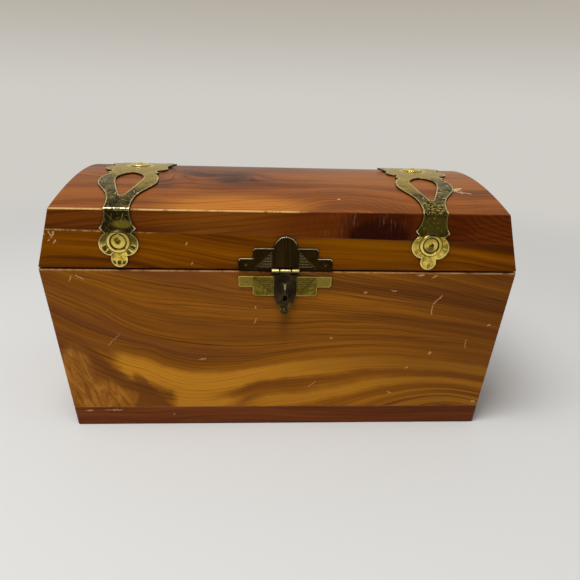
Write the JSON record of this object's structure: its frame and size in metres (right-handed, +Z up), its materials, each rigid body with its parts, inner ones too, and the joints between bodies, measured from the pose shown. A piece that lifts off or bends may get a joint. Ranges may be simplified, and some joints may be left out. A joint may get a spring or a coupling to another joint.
{
  "type": "keepsake box",
  "caption": "Chest-shaped cedar keepsake box with leaning ends, a domed lid hinged at the back, pierced brass straps over the lid and a stepped brass latch with a hanging hasp.",
  "frame": {"origin": "middle of the underside of the bottom board, on the surface that the box stands on", "axes": "+X along the length to the right seen from the front, +Y from the front to the back, +Z up"},
  "size_m": [0.24, 0.1367, 0.1319],
  "materials": {
    "cedar": "satin varnish over red cedar",
    "aged_brass": "stamped brass with worn lacquer and tarnish",
    "dark_brass": "brass darkened with age",
    "steel": "plain steel"
  },
  "bodies": {
    "case": {"base_board": "cedar", "front_wall": "cedar", "back_wall": "cedar", "left_end_wall": "cedar", "right_end_wall": "cedar", "base_brads": "steel", "latch_case_plate": "aged_brass", "latch_catch": "aged_brass", "latch_case_tacks": "aged_brass", "left_hinge_case_leaf": "aged_brass", "left_hinge_pin": "steel", "right_hinge_case_leaf": "aged_brass", "right_hinge_pin": "steel", "hinge_case_screws": "aged_brass"},
    "lid": {"lid_top_board": "cedar", "lid_front_rail": "cedar", "lid_back_rail": "cedar", "lid_left_rail": "cedar", "lid_right_rail": "cedar", "left_strap": "aged_brass", "left_strap_nails": "dark_brass", "right_strap": "aged_brass", "right_strap_nails": "dark_brass", "latch_lid_plate": "dark_brass", "latch_lid_tacks": "aged_brass", "latch_hasp_pin": "steel", "left_hinge_lid_leaf": "aged_brass", "right_hinge_lid_leaf": "aged_brass", "hinge_lid_screws": "aged_brass"},
    "hasp": {"latch_hasp": "dark_brass"}
  },
  "joints": [
    {"name": "lid_hinge", "type": "hinge", "parent": "case", "child": "lid", "pos_m": [0, 0.0644, 0.08785], "axis": [-1, 0, 0], "range_deg": [0, 110]},
    {"name": "hasp_hinge", "type": "hinge", "parent": "lid", "child": "hasp", "pos_m": [0.001, -0.06675, 0.08785], "axis": [-1, 0, 0], "range_deg": [0, 150]}
  ]
}
